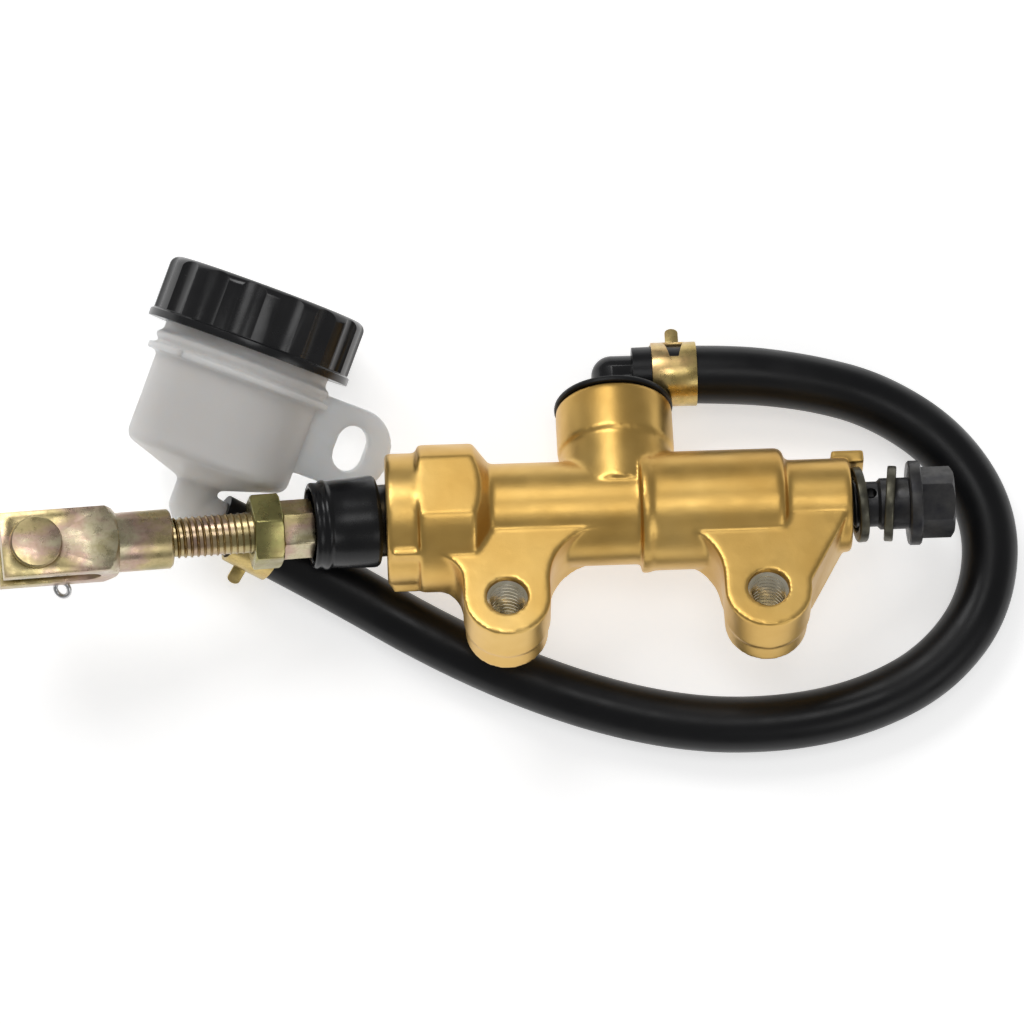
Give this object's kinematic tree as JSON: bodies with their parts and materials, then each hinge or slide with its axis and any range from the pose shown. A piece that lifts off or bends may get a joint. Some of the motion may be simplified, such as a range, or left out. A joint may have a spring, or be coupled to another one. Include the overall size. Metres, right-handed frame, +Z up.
{
  "type": "brake master cylinder",
  "caption": "Foot brake master cylinder with remote fluid reservoir, rubber feed hose, adjustable push rod clevis and hollow outlet bolt.",
  "frame": {"origin": "centre of the footprint on the bench, without the hose and its clamps", "axes": "+X along the bore towards the outlet bolt, +Z up from the bench that the set lies on"},
  "size_m": [0.1993, 0.0992, 0.0417],
  "materials": {
    "gold": "gold anodised, satin cast surface",
    "zinc_yellow": "yellow chromate zinc plate, iridescent",
    "bright_steel": "bright",
    "black_steel": "black phosphate",
    "olive_washer": "dark olive passivate",
    "rubber": "matt black",
    "hose_rubber": "smooth black",
    "cap_black": "semi-gloss black moulding",
    "tank_white": "translucent natural nylon",
    "elbow_black": "black moulded nylon",
    "piston_grey": "turned"
  },
  "bodies": {
    "cylinder": {"cylinder_body": "gold", "inlet_grommet": "rubber", "inlet_elbow": "elbow_black", "hose": "hose_rubber", "hose_clamp_inlet": "zinc_yellow", "hose_clamp_reservoir": "zinc_yellow", "reservoir": "tank_white", "stop_washer": "bright_steel", "circlip": "bright_steel", "dust_boot": "rubber", "return_spring": "bright_steel"},
    "piston": {"piston": "piston_grey", "primary_cup": "rubber", "secondary_cup": "rubber", "spring_seat": "bright_steel"},
    "push_rod": {"pushrod": "zinc_yellow"},
    "lock_nut": {"lock_nut": "zinc_yellow"},
    "clevis": {"clevis": "zinc_yellow"},
    "clevis_pin": {"clevis_pin": "zinc_yellow", "cotter_pin": "bright_steel"},
    "cap_seal": {"diaphragm": "rubber", "diaphragm_plate": "cap_black"},
    "cap": {"reservoir_cap": "cap_black"},
    "banjo_bolt": {"banjo_bolt": "black_steel"},
    "washer_inner": {"crush_washer_inner": "olive_washer"},
    "washer_outer": {"crush_washer_outer": "olive_washer"}
  },
  "joints": [
    {"name": "piston_slide", "type": "slide", "parent": "cylinder", "child": "piston", "axis": [1, 0, 0], "range_m": [0, 0.0075], "stiffness_N_per_m": 1500, "springref_m": -0.006, "deforming": ["return_spring"]},
    {"name": "push_rod_swivel", "type": "hinge", "parent": "piston", "child": "push_rod", "pos_m": [-0.00684, -0.01127, 0.0199], "axis": [0, 0.342, 0.9397], "range_deg": [-1, 2], "deforming": ["dust_boot"]},
    {"name": "lock_nut_turn", "type": "hinge", "parent": "push_rod", "child": "lock_nut", "pos_m": [-0.00684, -0.01127, 0.0199], "axis": [0.9866, 0.0698, -0.1474], "continuous": true},
    {"name": "clevis_turn", "type": "hinge", "parent": "push_rod", "child": "clevis", "pos_m": [-0.00684, -0.01127, 0.0199], "axis": [0.9866, 0.0698, -0.1474], "continuous": true},
    {"name": "clevis_pin_turn", "type": "hinge", "parent": "clevis", "child": "clevis_pin", "pos_m": [-0.08498, -0.0168, 0.03158], "axis": [0.1466, 0.0174, 0.989], "continuous": true},
    {"name": "cap_lift", "type": "slide", "parent": "cylinder", "child": "cap_seal", "axis": [0.3759, 0.912, 0.164], "range_m": [0, 0.003]},
    {"name": "cap_turn", "type": "hinge", "parent": "cap_seal", "child": "cap", "pos_m": [-0.04304, 0.02313, 0.02022], "axis": [0.3759, 0.912, 0.164], "range_deg": [0, 360]},
    {"name": "banjo_bolt_turn", "type": "hinge", "parent": "cylinder", "child": "banjo_bolt", "pos_m": [0.07276, -0.01127, 0.0199], "axis": [1, 0, 0], "continuous": true},
    {"name": "washer_inner_slide", "type": "slide", "parent": "banjo_bolt", "child": "washer_inner", "axis": [1, 0, 0], "range_m": [0, 0.0008]},
    {"name": "washer_outer_slide", "type": "slide", "parent": "banjo_bolt", "child": "washer_outer", "axis": [1, 0, 0], "range_m": [-0.0008, 0.0006]}
  ],
  "couplings": [
    {"joint": "cap_lift", "follows": "cap_turn", "m_per_rad": 0.00047699}
  ]
}
